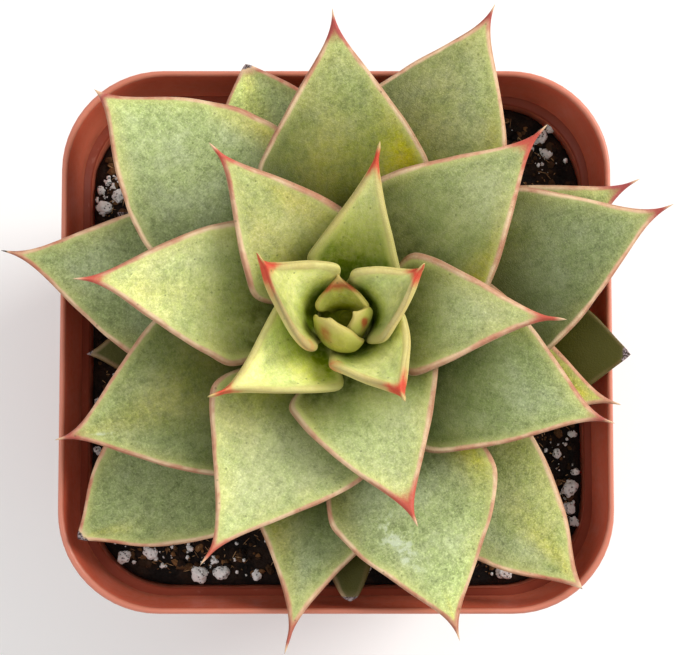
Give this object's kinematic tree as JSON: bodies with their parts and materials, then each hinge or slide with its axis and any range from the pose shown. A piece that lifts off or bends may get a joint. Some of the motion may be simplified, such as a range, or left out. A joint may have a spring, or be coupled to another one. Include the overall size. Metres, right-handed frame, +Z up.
{
  "type": "potted rosette succulent",
  "caption": "Rosette succulent with layers of thick pointed leaves on a short stem, growing in a square tapered nursery pot filled with potting mix.",
  "frame": {"origin": "centre of the flat underside of the pot", "axes": "+Z up out of the pot, +X to the right and -Y to the front as the plant is seen from above in its usual view"},
  "size_m": [0.114, 0.1104, 0.1087],
  "materials": {
    "pot_plastic": "terracotta-coloured moulded plastic, satin, brighter at the rim",
    "potting_mix": "damp dark brown crumbs, no gloss",
    "heart_skin": "waxy yellow-green with red tips",
    "young_leaf": "waxy yellow-green with pink margins and red tips",
    "inner_leaf": "waxy light green with pink margins and red tips",
    "middle_leaf": "waxy grey-green with beige-pink margins",
    "outer_leaf": "dull bluish green with dry tips",
    "perlite": "chalky white"
  },
  "bodies": {
    "root": {"pot": "pot_plastic", "soil": "potting_mix", "stem_and_heart": "heart_skin", "leaf_01": "young_leaf", "leaf_02": "young_leaf", "leaf_03": "young_leaf", "leaf_04": "young_leaf", "leaf_05": "young_leaf", "leaf_06": "inner_leaf", "leaf_07": "inner_leaf", "leaf_08": "inner_leaf", "leaf_09": "inner_leaf", "leaf_10": "inner_leaf", "leaf_11": "inner_leaf", "leaf_12": "middle_leaf", "leaf_13": "middle_leaf", "leaf_14": "middle_leaf", "leaf_15": "middle_leaf", "leaf_16": "middle_leaf", "leaf_17": "middle_leaf", "leaf_18": "middle_leaf", "leaf_19": "middle_leaf", "leaf_20": "middle_leaf", "leaf_21": "outer_leaf", "leaf_22": "outer_leaf", "leaf_23": "outer_leaf", "leaf_24": "outer_leaf", "leaf_25": "middle_leaf", "leaf_26": "outer_leaf", "leaf_27": "outer_leaf", "leaf_28": "outer_leaf", "leaf_29": "outer_leaf", "perlite_01": "perlite", "perlite_02": "perlite", "perlite_03": "perlite", "perlite_04": "perlite", "perlite_05": "perlite", "perlite_06": "perlite", "perlite_07": "perlite", "perlite_08": "perlite", "perlite_09": "perlite", "perlite_10": "perlite", "perlite_11": "perlite", "perlite_12": "perlite", "perlite_13": "perlite", "perlite_14": "perlite"}
  },
  "joints": []
}
